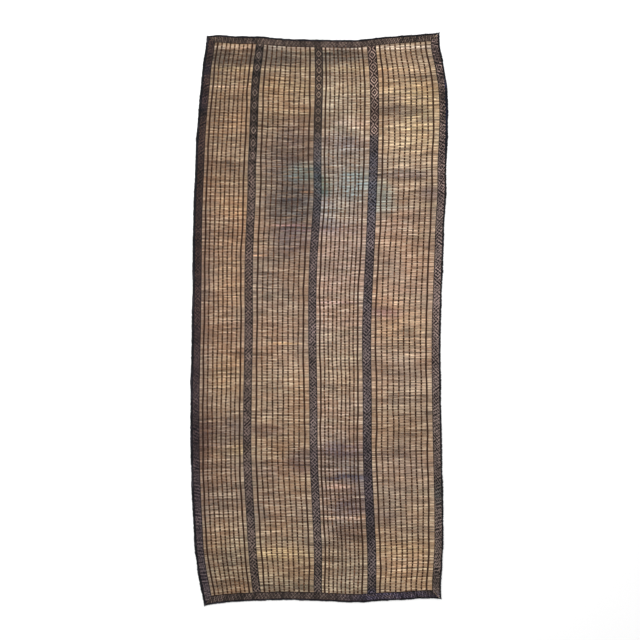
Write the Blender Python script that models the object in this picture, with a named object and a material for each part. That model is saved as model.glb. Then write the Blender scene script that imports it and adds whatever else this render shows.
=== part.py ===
"""A Tuareg floor mat lying flat: reeds bound by leather thongs, with leather bands and a border.

Metres, +Z up. The origin lies under the middle of the mat. +Y runs along the mat, from its foot
to its head, and +X runs across it. The reeds lie across the mat. The thongs that bind them, the
three patterned bands and the side borders run along it, and all of them follow the mat's bent
outline, which the PLAN and END_BOW tables give.
"""

import math

import bmesh
import bpy
import numpy as np

NAME = "tuareg_mat"

# The mat, in metres
HALF_LENGTH = 1.65  # from the middle to each end, before the end's bow
GAP = 0.0003  # between pieces that touch
REED_TOP = 0.0046  # upper face of the reeds
THONG_TOP = 0.0058  # crest of a binding thong
THONG_SLOPE = 0.0012  # width of a thong's rounded side
LEATHER_BASE = REED_TOP + GAP  # underside of the bands and borders
LEATHER_SHOULDER = 0.0058  # their upper face at the edges
LEATHER_TOP = 0.0064  # their upper face in the middle
BORDER_SEWN = 0.0056  # a border's inner edge, drawn down by its seam

# Where the lines that run along the mat lie, a row for each cross line from foot to head
PLAN_COLUMNS = ("along", "left_edge", "left_band", "middle_band", "right_band", "right_edge")
PLAN = (
    (-1.650, -0.673, -0.360, -0.008, 0.306, 0.713),
    (-1.550, -0.693, -0.373, -0.010, 0.306, 0.711),
    (-1.410, -0.719, -0.388, -0.008, 0.307, 0.722),
    (-1.170, -0.737, -0.403, -0.017, 0.297, 0.725),
    (-0.820, -0.751, -0.422, -0.033, 0.281, 0.718),
    (-0.470, -0.753, -0.421, -0.036, 0.280, 0.711),
    (-0.060, -0.745, -0.414, -0.042, 0.276, 0.709),
    (0.350, -0.740, -0.413, -0.036, 0.293, 0.724),
    (0.520, -0.739, -0.407, -0.025, 0.301, 0.729),
    (0.700, -0.733, -0.398, -0.012, 0.308, 0.741),
    (0.900, -0.725, -0.395, -0.012, 0.316, 0.743),
    (1.085, -0.717, -0.386, -0.011, 0.320, 0.752),
    (1.340, -0.694, -0.377, -0.004, 0.322, 0.747),
    (1.520, -0.676, -0.359, -0.003, 0.312, 0.716),
    (1.600, -0.661, -0.348, -0.006, 0.304, 0.700),
    (1.650, -0.657, -0.344, -0.008, 0.300, 0.701),
)

# How far each end edge bows out (plus) or in (minus), a row for each place across the mat
END_BOW_COLUMNS = ("across", "head", "foot")
END_BOW = (
    (0.00, 0.008, 0.026),
    (0.04, 0.013, 0.015),
    (0.12, 0.007, 0.003),
    (0.23, 0.004, -0.005),
    (0.33, -0.009, -0.009),
    (0.50, -0.015, -0.003),
    (0.66, -0.014, 0.005),
    (0.75, 0.000, -0.004),
    (0.85, 0.011, -0.010),
    (0.93, 0.019, -0.018),
    (1.00, 0.028, -0.015),
)
BOW_FADE = 3  # power by which an end's bow fades towards the other end

# Leather at the rim, from the outline inwards
EDGING_WIDTH = {"left": 0.009, "right": 0.013, "head": 0.006, "foot": 0.006}
BORDER_INNER = {"left": 0.051, "right": 0.052, "head": 0.044, "foot": 0.049}
BAND_WIDTH = {"left_band": 0.049, "middle_band": 0.048, "right_band": 0.053}

# The four panels of reeds, a row for each: the lines at its left and right, how many thongs bind
# it, and how far the first lies from its left side and the last from its right, as shares of its width
PANELS = (
    ("left_edge", "left_band", 9, 0.073, 0.083),
    ("left_band", "middle_band", 10, 0.078, 0.085),
    ("middle_band", "right_band", 10, 0.069, 0.105),
    ("right_band", "right_edge", 10, 0.074, 0.091),
)
THONG_WIDTH = 0.008
END_THONG_WIDTH = 0.010  # the first and last thong of a panel
THONG_FADE = 0.003  # length in which a thong sinks to pass under an end border

# Cross sections, a row for each point: share of the width, height. A rim piece's runs inwards.
BAND_SECTION = ((0.00, LEATHER_SHOULDER), (0.15, LEATHER_TOP), (0.85, LEATHER_TOP), (1.00, LEATHER_SHOULDER))
BORDER_SECTION = ((0.00, LEATHER_SHOULDER), (0.15, LEATHER_TOP), (0.85, LEATHER_TOP), (1.00, BORDER_SEWN))
EDGING_SECTION = ((0.00, 0.0034), (0.14, 0.0056), (0.42, 0.0066), (0.78, 0.0064), (1.00, 0.0052))

# Unevenness of the outer edge, a row for each wave: height, half waves in a side
EDGE_WAVES = ((0.0009, 23), (0.0007, 38))

# How finely the pieces are divided
ALONG_STEPS = 22
EDGING_STEPS = 2  # in each of those
ACROSS_STEPS = 48
STEP_EVENNESS = 0.25  # 0 for even steps, and more for shorter steps near the ends


def smooth(stations, values, at):
    """A cubic through the table's values, whose slopes come from their neighbours."""
    slopes = np.gradient(values, stations)
    index = np.clip(np.searchsorted(stations, at) - 1, 0, len(stations) - 2)
    step = stations[index + 1] - stations[index]
    t = (at - stations[index]) / step
    rise = values[index + 1] - values[index]
    start, end = slopes[index] * step, slopes[index + 1] * step
    return values[index] + t * start + t**2 * (3 * rise - 2 * start - end) + t**3 * (start + end - 2 * rise)


def stations_along():
    """Cross lines from foot to head, closer together near the ends."""
    u = np.linspace(-1.0, 1.0, ALONG_STEPS + 1)
    return HALF_LENGTH * ((1 + STEP_EVENNESS) * u - STEP_EVENNESS * u**3)


STATIONS = stations_along()
PLAN_TABLE = np.array(PLAN)
LINES = {
    column: smooth(PLAN_TABLE[:, 0], PLAN_TABLE[:, number], STATIONS)
    for number, column in enumerate(PLAN_COLUMNS)
    if number
}
BOW_TABLE = np.array(END_BOW)


def line(name, along):
    """Where a line of the plan crosses the place `along`. It is straight between the stations."""
    return float(np.interp(along, STATIONS, LINES[name]))


def bow(end, across):
    number = END_BOW_COLUMNS.index(end)
    return float(smooth(BOW_TABLE[:, 0], BOW_TABLE[:, number], np.array(across)))


def lay(x, along, z):
    """A point of the mat, shifted along it by the bow of its two ends."""
    left, right = line("left_edge", along), line("right_edge", along)
    across = min(max((x - left) / (right - left), 0.0), 1.0)
    to_head = (1 + along / HALF_LENGTH) / 2
    shift = bow("head", across) * to_head**BOW_FADE - bow("foot", across) * (1 - to_head) ** BOW_FADE
    return (x, along + shift, z)


def mix(start, end, share):
    return start + (end - start) * share


def finish(name, rgb, roughness):
    """A plain material."""
    material = bpy.data.materials.new(name)
    material.use_nodes = True
    shader = material.node_tree.nodes["Principled BSDF"]
    shader.inputs["Base Color"].default_value = (*rgb, 1.0)
    shader.inputs["Roughness"].default_value = roughness
    shader.inputs["Metallic"].default_value = 0.0
    return material


def slab(name, columns, rows, place, base, material):
    """A grid laid out by place(column, row), and thickened down to a flat underside at base."""
    bm = bmesh.new()
    bmesh.ops.create_grid(bm, x_segments=columns - 1, y_segments=rows - 1, size=0.5)
    for vert in bm.verts:
        column = round((vert.co.x + 0.5) * (columns - 1))
        row = round((vert.co.y + 0.5) * (rows - 1))
        vert.co = place(column, row)
    lower = bmesh.ops.extrude_face_region(bm, geom=bm.faces[:])
    for item in lower["geom"]:
        if isinstance(item, bmesh.types.BMVert):
            item.co.z = base
    bmesh.ops.recalc_face_normals(bm, faces=bm.faces[:])
    mesh = bpy.data.meshes.new(name)
    bm.to_mesh(mesh)
    bm.free()
    mesh.materials.append(material)
    piece = bpy.data.objects.new(name, mesh)
    bpy.data.collections[NAME].objects.link(piece)
    return piece


def reed_columns():
    """The ground's lines from left to right, as (left line, right line, share, offset, raised)."""

    def under_leather(name, *offsets):
        return [(name, name, 0.0, offset, False) for offset in offsets]

    inner, outer = BORDER_INNER["left"], EDGING_WIDTH["left"] + GAP
    columns = under_leather("left_edge", outer, (outer + inner) / 2, inner)
    for left, right, count, first, last in PANELS:
        for number in range(count):
            share = mix(first, 1 - last, number / (count - 1))
            at_end = number in (0, count - 1)
            half = (END_THONG_WIDTH if at_end else THONG_WIDTH) / 2
            columns.append((left, right, share, -half, False))
            columns.append((left, right, share, -half + THONG_SLOPE, True))
            columns.append((left, right, share, half - THONG_SLOPE, True))
            columns.append((left, right, share, half, False))
        if right in BAND_WIDTH:
            columns += under_leather(right, -BAND_WIDTH[right] / 2, 0.0, BAND_WIDTH[right] / 2)
    inner, outer = -BORDER_INNER["right"], -EDGING_WIDTH["right"] - GAP
    columns += under_leather("right_edge", inner, (outer + inner) / 2, outer)
    return columns


def panel_side(name, along, side):
    """The clear side of a panel: the border's inner edge, or the edge of a band."""
    if name in BAND_WIDTH:
        return line(name, along) + side * BAND_WIDTH[name] / 2
    return line(name, along) + side * BORDER_INNER[name.split("_")[0]]


def reed_rows():
    """The ground's cross lines, as (along, thongs raised)."""
    ends = {end: HALF_LENGTH - EDGING_WIDTH[end] - GAP for end in ("foot", "head")}
    sink = {end: HALF_LENGTH - BORDER_INNER[end] - GAP for end in ("foot", "head")}
    rows = [(-ends["foot"], False), (-sink["foot"], False), (-sink["foot"] + THONG_FADE, True)]
    rows += [(float(along), True) for along in STATIONS[1:-1]]
    rows += [(sink["head"] - THONG_FADE, True), (sink["head"], False), (ends["head"], False)]
    return rows


def make_reed_ground(material):
    """The field of reeds across the mat, with the thongs that bind them raised as ribs."""
    columns, rows = reed_columns(), reed_rows()

    def place(column, row):
        left, right, share, offset, crest = columns[column]
        along, raised = rows[row]
        if left == right:
            x = line(left, along) + offset
        else:
            x = mix(panel_side(left, along, 1), panel_side(right, along, -1), share) + offset
        return lay(x, along, THONG_TOP if crest and raised else REED_TOP)

    return slab("reed_ground", len(columns), len(rows), place, 0.0, material)


def make_band(name, plan_line, material):
    """A patterned leather band between two panels, from one end border to the other."""
    ends = (
        -(HALF_LENGTH - BORDER_INNER["foot"] - GAP),
        HALF_LENGTH - BORDER_INNER["head"] - GAP,
    )
    rows = [ends[0], *STATIONS[1:-1], ends[1]]

    def place(column, row):
        share, height = BAND_SECTION[column]
        along = float(rows[row])
        x = line(plan_line, along) + (share - 0.5) * BAND_WIDTH[plan_line]
        return lay(x, along, height)

    return slab(name, len(BAND_SECTION), len(rows), place, LEATHER_BASE, material)


def edge_waves(share):
    """Small unevenness that fades out at both ends of a side."""
    return sum(height * math.sin(math.pi * waves * share) for height, waves in EDGE_WAVES)


def make_side_strip(name, side, form, steps, wave, material):
    """A strip down the left or right side, mitred into the strips at the head and the foot.

    form gives its section, its underside, and how far its outer and inner edges lie from the
    outline on every side of the mat. wave is how much of the edge's unevenness it takes.
    """
    outer, inner, section = form["outer"], form["inner"], form["section"]
    line_name, inward = ("left_edge", 1) if side == "left" else ("right_edge", -1)
    whole = np.interp(np.arange(ALONG_STEPS * steps + 1) / steps, np.arange(ALONG_STEPS + 1), STATIONS)

    def place(column, row):
        share, height = section[column]
        inset = mix(outer[side], inner[side], share)
        if row == 0:
            along = -(HALF_LENGTH - mix(outer["foot"], inner["foot"], share) - GAP)
        elif row == len(whole) - 1:
            along = HALF_LENGTH - mix(outer["head"], inner["head"], share) - GAP
        else:
            along = float(whole[row])
        inset += wave * (1 - share) * edge_waves(row / (len(whole) - 1))
        return lay(line(line_name, along) + inward * inset, along, height)

    return slab(name, len(section), len(whole), place, form["base"], material)


def make_end_strip(name, end, form, wave, material):
    """A strip across the head or the foot, mitred into the strips down the two sides."""
    outer, inner, section = form["outer"], form["inner"], form["section"]
    way = 1 if end == "head" else -1

    def place(column, row):
        share, height = section[column]
        run = row / ACROSS_STEPS
        inset = mix(outer[end], inner[end], share) + wave * (1 - share) * edge_waves(run)
        along = way * (HALF_LENGTH - inset)
        left = line("left_edge", along) + mix(outer["left"], inner["left"], share) + GAP
        right = line("right_edge", along) - mix(outer["right"], inner["right"], share) - GAP
        return lay(mix(left, right, run), along, height)

    return slab(name, len(section), ACROSS_STEPS + 1, place, form["base"], material)


def make_rim(leathers):
    """The rolled edging round the mat, and the patterned border strips inside it."""
    nothing = {side: 0.0 for side in EDGING_WIDTH}
    border_outer = {side: width + GAP for side, width in EDGING_WIDTH.items()}
    edging = {"outer": nothing, "inner": EDGING_WIDTH, "section": EDGING_SECTION, "base": 0.0}
    border = {"outer": border_outer, "inner": BORDER_INNER, "section": BORDER_SECTION, "base": LEATHER_BASE}
    for side in ("left", "right"):
        make_side_strip(f"edging_{side}", side, edging, EDGING_STEPS, 1.0, leathers["edging"])
        make_side_strip(f"border_{side}", side, border, 1, 0.0, leathers["border"])
    for end in ("head", "foot"):
        make_end_strip(f"edging_{end}", end, edging, 1.0, leathers["edging"])
        make_end_strip(f"border_{end}", end, border, 0.0, leathers["border"])


def main():
    for item in list(bpy.data.objects):
        bpy.data.objects.remove(item, do_unlink=True)
    bpy.context.scene.collection.children.link(bpy.data.collections.new(NAME))
    leathers = {
        "band": finish("band_leather", (0.095, 0.071, 0.061), 0.7),
        "border": finish("border_leather", (0.083, 0.064, 0.060), 0.7),
        "edging": finish("edging_leather", (0.027, 0.027, 0.034), 0.5),
    }
    make_reed_ground(finish("reeds", (0.29, 0.195, 0.133), 0.6))
    make_band("band_left", "left_band", leathers["band"])
    make_band("band_middle", "middle_band", leathers["band"])
    make_band("band_right", "right_band", leathers["band"])
    make_rim(leathers)


main()
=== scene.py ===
import math
from functools import partialmethod

import bpy
import numpy as np
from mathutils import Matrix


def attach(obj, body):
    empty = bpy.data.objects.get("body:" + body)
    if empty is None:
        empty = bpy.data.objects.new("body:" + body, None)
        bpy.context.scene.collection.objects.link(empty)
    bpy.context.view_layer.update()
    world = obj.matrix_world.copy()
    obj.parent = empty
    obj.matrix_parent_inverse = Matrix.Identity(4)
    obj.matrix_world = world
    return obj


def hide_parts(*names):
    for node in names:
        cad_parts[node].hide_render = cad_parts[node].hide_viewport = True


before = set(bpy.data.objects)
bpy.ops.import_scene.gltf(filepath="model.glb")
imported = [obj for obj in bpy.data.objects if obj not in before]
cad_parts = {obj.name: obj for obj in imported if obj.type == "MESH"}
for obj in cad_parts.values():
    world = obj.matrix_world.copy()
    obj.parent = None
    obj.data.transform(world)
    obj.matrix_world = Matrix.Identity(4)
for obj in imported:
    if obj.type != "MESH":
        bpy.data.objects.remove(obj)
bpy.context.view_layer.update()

# Looks of a Tuareg floor mat: reeds bound by woven leather thongs, three patterned leather bands,
# a patterned leather border and a rolled edging. Metres; +Y runs along the mat, to its head.
chance = np.random.default_rng(20)

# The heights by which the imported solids' lines are found
levels = {
    "bandEdge": 0.0058,
    "borderOuter": 0.0058,
    "borderInner": 0.0056,
    "edgingOuter": 0.0034,
    "edgingInner": 0.0052,
    "thongCrest": 0.0058,
    "tolerance": 0.00003,
}


def nodePoints(node, height):
    # the points of a CAD node's mesh at one height, each once, as rows of x, y
    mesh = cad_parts[node].data
    flat = np.empty(len(mesh.vertices) * 3, np.float32)
    mesh.vertices.foreach_get("co", flat)
    points = np.unique(flat.reshape(-1, 3).astype(float).round(5), axis=0)
    return points[abs(points[:, 2] - height) < levels["tolerance"], :2]


def nodeLine(node, height, axis):
    # those points in order, along x (axis 0) or y (axis 1)
    points = nodePoints(node, height)
    return points[np.argsort(points[:, axis])]


def bandLines(node):
    # a band's left and right line: its edge points come in pairs, one on either side
    pairs = nodeLine(node, levels["bandEdge"], 1).reshape(-1, 2, 2)
    order = np.argsort(pairs[:, :, 0], axis=1)
    rows = np.arange(len(pairs))
    return pairs[rows, order[:, 0]], pairs[rows, order[:, 1]]


def drift(shape, spread, span):
    # a smooth random wander along the last axis: noise whose waves are damped by exp(-(f span)^2)
    damping = np.exp(-(np.fft.rfftfreq(shape[-1]) * span) ** 2)
    smooth = np.fft.irfft(np.fft.rfft(chance.normal(0, 1, shape)) * damping, shape[-1])
    return smooth * spread / smooth.std()


def curve(stations, values, at):
    # p(t) = v0 + s0 t + (3 dv - 2 s0 - s1) t^2 + (s0 + s1 - 2 dv) t^3, slopes s from the neighbours
    slopes = np.gradient(values, stations)
    index = np.clip(np.searchsorted(stations, at) - 1, 0, len(stations) - 2)
    step = stations[index + 1] - stations[index]
    t = np.clip((at - stations[index]) / step, 0, 1)
    rise = values[index + 1] - values[index]
    first, last = slopes[index] * step, slopes[index + 1] * step
    curved = (3 * rise - 2 * first - last) * t**2 + (first + last - 2 * rise) * t**3
    return values[index] + first * t + curved


def pair(first, second, axis, step):
    # two facing lines resampled at the same shares s of their spans, every `step` metres: p(s) on both
    length = np.mean([np.hypot(*np.diff(line, axis=0).T).sum() for line in (first, second)])
    share = np.linspace(0, 1, round(length / step) + 1)

    def place(line):
        # its points at those shares
        main = line[0, axis] + share * (line[-1, axis] - line[0, axis])
        other = curve(line[:, axis], line[:, 1 - axis], main)
        return np.stack([main, other] if axis == 0 else [other, main], axis=1)

    return place(first), place(second), share * length


sideAxes = {"left": 1, "right": 1, "foot": 0, "head": 0}  # the axis that each side of the rim runs along


def rimLines(part, level):
    # the line at one height of each of the rim's four sides
    return {side: nodeLine(f"{part}_{side}", levels[level], axis) for side, axis in sideAxes.items()}


rimOuter = rimLines("edging", "edgingOuter")
rimInner = rimLines("edging", "edgingInner")
borderOuter = rimLines("border", "borderOuter")
borderInner = rimLines("border", "borderInner")
bands = {name: bandLines(f"band_{name}") for name in ("left", "middle", "right")}

endLevel = {end: float(rimInner[end][:, 1].mean()) for end in ("foot", "head")}
endWidth = {end: (rimInner[end][0, 0], rimInner[end][-1, 0]) for end in ("foot", "head")}


def endBow(end, share):
    # how far an end's line lies from its mean level at a share of the width
    line = rimInner[end]
    x = endWidth[end][0] + share * (endWidth[end][1] - endWidth[end][0])
    return curve(line[:, 0], line[:, 1], x) - endLevel[end]


def layAlong(share, rise):
    # y = foot + rise (head - foot) + headBow rise^3 + footBow (1 - rise)^3
    level = endLevel["foot"] + rise * (endLevel["head"] - endLevel["foot"])
    return level + endBow("head", share) * rise**3 + endBow("foot", share) * (1 - rise) ** 3


def sideAt(name, y):
    # x of a side edging's inner line at y
    line = rimInner[name]
    return curve(line[:, 1], line[:, 0], y)


print("lines of the packed mat read:", {name: len(line) for name, line in rimInner.items()})


def put(name, data):
    # a new object in the scene
    made = bpy.data.objects.new(name, data)
    bpy.context.scene.collection.objects.link(made)
    return made


def volume(points, faces):
    # the sum of a . (b x c) / 6 over each face's fan of triangles: above 0 where the faces look outward
    corners = points[faces]
    return float((corners[:, :1] * np.cross(corners[:, 1:-1], corners[:, 2:])).sum()) / 6


def skin(name, grid, wraps, material):
    # tubes of points, grid[tube, row, around], closed round and capped at both ends
    # wraps: for each map its u and v of every point, with one more column where the tube closes
    tubes, rows, around = grid.shape[:3]
    points = grid.reshape(-1, 3)
    number = np.arange(len(points)).reshape(tubes, rows, around)
    turned = np.roll(number, -1, axis=2)
    quads = np.stack([number[:, :-1], turned[:, :-1], turned[:, 1:], number[:, 1:]], axis=-1)
    quads = quads.reshape(-1, 4)
    caps = np.concatenate([number[:, 0, ::-1], number[:, -1]])
    facing = 1 if volume(points, quads) + volume(points, caps) > 0 else -1

    def corners(quadValues, capValues):
        # the values of every corner, in the order that makes the faces look outward
        return np.concatenate([quadValues[:, ::facing].ravel(), capValues[:, ::facing].ravel()])

    def spread(values):
        # one coordinate of a map on every corner
        near, far = values[:, :-1], values[:, 1:]
        quad = np.stack([near[..., :-1], near[..., 1:], far[..., 1:], far[..., :-1]], axis=-1)
        return corners(quad.reshape(-1, 4), np.concatenate([values[:, 0, -2::-1], values[:, -1, :-1]]))

    loops = corners(quads, caps)
    starts = np.concatenate([np.arange(len(quads)) * 4, quads.size + np.arange(len(caps)) * around])
    mesh = bpy.data.meshes.new(name)
    mesh.vertices.add(len(points))
    mesh.vertices.foreach_set("co", points.ravel().astype(np.float32))
    mesh.loops.add(len(loops))
    mesh.loops.foreach_set("vertex_index", loops.astype(np.int32))
    mesh.polygons.add(len(starts))
    mesh.polygons.foreach_set("loop_start", starts.astype(np.int32))
    for mapName, (u, v) in wraps.items():
        layer = mesh.uv_layers.new(name=mapName)
        layer.data.foreach_set("uv", np.stack([spread(u), spread(v)], axis=1).ravel().astype(np.float32))
    mesh.update(calc_edges=True)
    mesh.validate()
    mesh.polygons.foreach_set("use_smooth", np.ones(len(starts), bool))
    mesh.set_sharp_from_angle(angle=math.radians(50))
    mesh.materials.append(material)
    piece = put(name, mesh)
    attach(piece, "root")
    print(name, "triangles:", sum(len(face.vertices) - 2 for face in mesh.polygons))
    return piece


class Value:
    # a socket in a material: an expression on it adds Math nodes
    def __init__(self, finish, socket):
        self.finish, self.socket = finish, socket

    def of(self, operation, *others):
        # the Math node `operation` on this socket and the others
        inputs = dict(enumerate((self, *others)))
        return self.finish.node("ShaderNodeMath", {"operation": operation}, inputs)

    def __rsub__(self, other):
        return self.finish.node("ShaderNodeMath", {"operation": "SUBTRACT"}, {0: other, 1: self})

    __add__ = __radd__ = partialmethod(of, "ADD")
    __sub__ = partialmethod(of, "SUBTRACT")
    __mul__ = __rmul__ = partialmethod(of, "MULTIPLY")
    __truediv__ = partialmethod(of, "DIVIDE")
    __pow__ = partialmethod(of, "POWER")
    __abs__ = partialmethod(of, "ABSOLUTE")


displayPower = 2.2


def linear(shade):
    # a display colour 0-255 as the shader's own: c = (s / 255)^power
    return tuple((s / 255) ** displayPower for s in shade)


stainForm = {
    "bend": 0.10,  # how far a noise of bendScale moves a stain's rim
    "bendScale": 6.0,
    "streaks": (9.0, 90.0, 1.0),  # the scales of the noise that breaks it up
    "rim": (1.2, 0.35),  # the shares of its reach where it starts and where it is full
    "power": 3.2,  # strengthens the tints
    "straight": 0.02,  # what reaches no further than this along the mat isn't bent
    "bandHalf": 0.012,  # how softly it ends at a band
}


class Finish:
    # a material under construction, and the node kit that its patterns use
    def __init__(self, name):
        self.material = bpy.data.materials.new(name)
        self.material.use_nodes = True
        self.tree = self.material.node_tree
        self.shader = self.tree.nodes["Principled BSDF"]
        self.where = self.node("ShaderNodeTexCoord", output="Object")
        self.north = self.part(self.where, "Y")
        lay = self.node("ShaderNodeUVMap", {"uv_map": "lay"})
        self.across, self.along = self.part(lay, "X"), self.part(lay, "Y")

    def fill(self, made, inputs):
        # a value on a socket, or a link to it
        for key, value in inputs.items():
            if isinstance(value, Value):
                self.tree.links.new(value.socket, made.inputs[key])
            else:
                made.inputs[key].default_value = value

    def node(self, kind, settings=None, inputs=None, output=0):
        # a node of one type, with its settings first and then its sockets
        made = self.tree.nodes.new(kind)
        for key, value in (settings or {}).items():
            setattr(made, key, value)
        self.fill(made, inputs or {})
        return Value(self, made.outputs[output])

    def mix(self, factor, first, second, blend="MIX"):
        # (1 - factor) first + factor second; for MULTIPLY the second is first x second
        first, second = [(*c, 1.0) if isinstance(c, tuple) else c for c in (first, second)]
        settings = {"data_type": "RGBA", "blend_type": blend, "clamp_factor": True}
        return self.node("ShaderNodeMix", settings, {0: factor, 6: first, 7: second}, 2)

    def ease(self, value, low, high):
        # 0 below low, 1 above high, and a smooth step between; low may be the higher
        inputs = {"Value": value, "From Min": low, "From Max": high}
        return self.node("ShaderNodeMapRange", {"interpolation_type": "SMOOTHSTEP"}, inputs)

    def point(self, x, y, z=0.0):
        # three numbers as a place
        return self.node("ShaderNodeCombineXYZ", None, {0: x, 1: y, 2: z})

    def part(self, vector, axis):
        # one of a place's three numbers
        return self.node("ShaderNodeSeparateXYZ", None, {0: vector}, axis)

    def noise(self, vector, scale=1.0, detail=2.0, roughness=0.5, output="Fac"):
        # Blender's noise at vector x scale, about 0.5
        inputs = {"Vector": vector, "Scale": scale, "Detail": detail, "Roughness": roughness}
        return self.node("ShaderNodeTexNoise", None, inputs, output)

    def line(self, value, at, half, soft):
        # 1 within `half` of `at`, and 0 past half + soft
        return self.ease(abs(value - at), half + soft, half)

    def zigzag(self, value):
        # 0 at whole numbers, 1 halfway between them
        return 1 - abs(value.of("FRACT") - 0.5) * 2

    def vectors(self, operation, *values, output=0):
        # Vector Math on whole places
        inputs = dict(enumerate(values))
        return self.node("ShaderNodeVectorMath", {"operation": operation}, inputs, output)

    def bent(self):
        # the place on the mat, pushed about by a noise so that a stain's rim is uneven
        amount = stainForm["bend"]
        moved = self.noise(self.where, stainForm["bendScale"], 3.0, 0.6, "Color")
        push = self.vectors("SUBTRACT", moved, (0.5, 0.5, 0.5))
        return self.vectors("MULTIPLY_ADD", push, (amount, amount * 0.6, 0.0), self.where)

    def stains(self, colour, table, strength=1.0, panels=True):
        # colour x tint^power in soft ellipses round x, y, of half axes reachX, reachY, on their panels
        place = self.bent()
        streaks = self.vectors("MULTIPLY", self.where, stainForm["streaks"])
        uneven = self.ease(self.noise(streaks, 1.0, 3.0, 0.65), 0.2, 0.6) * strength
        for panel, patches in table.items():
            within = uneven * self.panel(*panel) if panels else uneven
            for x, y, reachX, reachY, tint in patches:
                start = self.where if reachY <= stainForm["straight"] else place
                size = (1 / reachX, 1 / reachY, 0.0)
                shift = (-x / reachX, -y / reachY, 0.0)
                scaled = self.vectors("MULTIPLY_ADD", start, size, shift)
                far = self.vectors("LENGTH", scaled, output="Value")
                mask = self.ease(far, *stainForm["rim"]) * within
                colour = self.mix(mask, colour, tuple(t ** stainForm["power"] for t in tint), "MULTIPLY")
        return colour

    def panel(self, first, last):
        # 1 on the panels from first to last, and 0 past the bands beside them
        mask = 1.0
        half = stainForm["bandHalf"]
        if first > 1:
            band = bandPlace[first - 2]
            mask = self.ease(self.across, band - half, band + half) * mask
        if last < 4:
            band = bandPlace[last - 1]
            mask = self.ease(self.across, band + half, band - half) * mask
        return mask

    def bump(self, height, distance=0.0004):
        # a fine relief on the shader's normal
        inputs = {"Height": height, "Distance": distance, "Strength": 0.5}
        self.fill(self.shader, {"Normal": self.node("ShaderNodeBump", None, inputs)})

    def done(self, colour, roughness, specular):
        # the finished material
        inputs = {"Base Color": colour, "Roughness": roughness, "Specular IOR Level": specular}
        self.fill(self.shader, inputs)
        return self.material


reeds = {
    "pitch": 0.0036,
    "width": 0.00345,
    "height": 0.0040,
    "middle": 0.0025,
    "waver": 0.00011,
    "thickSpread": (0.04, 0.02),  # how much the thickness varies from reed to reed, and along one
    "sides": 6,
    "segments": 14,
    "crowd": 0.3,  # how much closer its segments lie toward the mat's sides
    "mapWidth": 1.44,
    "margins": (0.004, 0.06),
    "shades": {
        "warm": (170, 136, 107),
        "pale": (165, 145, 125),
        "olive": (154, 143, 116),
        "cream": (172, 157, 134),
    },
    "bundle": 5.0,  # reeds between two painted shade lines
    "warp": 3.0,  # how many reeds the gaps wander by
    "bunch": 0.62,
    "streak": 1.2,
    "shortStreak": 1.0,
    "ownStreak": 1.1,
    "fibre": 0.3,
    "darkest": 0.45,
    "palest": 1.32,
    # painted shade: how much darker the reeds are along the lines between bundles
    "paintedGapShade": 0.24,
    "paintedGapShadeLine": (1.0, 0.22, 0.16),  # a painted shade line's middle, half width and softness, in halves of a bundle
    "oliveShare": 0.35,
    "creamShare": 0.8,
    "hue": (2.6, 3.0, 0.55),
    "grain": (9.0, 2600.0),  # a fine relief, along a reed and round it
    # noises over the reeds: scale along a reed, scale from reed to reed, place, detail, roughness
    "noises": {
        "warp": (0.7, 0.05, 6.0, 2.0, 0.5),
        "bunch": (2.2, 1.37, 2.0, 2.0, 0.6),
        "long": (3.5, 0.8, 3.0, 2.0, 0.6),
        "short": (13.0, 0.9, 9.0, 2.0, 0.6),
        "own": (12.0, 7.31, 0.0, 2.0, 0.6),
        "fibre": (60.0, 3.17, 0.0, 1.0, 0.6),
        "olive": (1.8, 0.07, 7.0, 3.0, 0.6),
    },
}

# Where the bands lie on the reeds' map: their mean share of the width, in metres from its left
bandPlace = []
for firstLine, secondLine in bands.values():
    x, y = ((firstLine + secondLine) / 2).T
    left, right = sideAt("left", y), sideAt("right", y)
    bandPlace.append(float(np.mean((x - left) / (right - left))) * reeds["mapWidth"])
print("bands lie at", [round(place, 3) for place in bandPlace], "of", reeds["mapWidth"])

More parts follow.
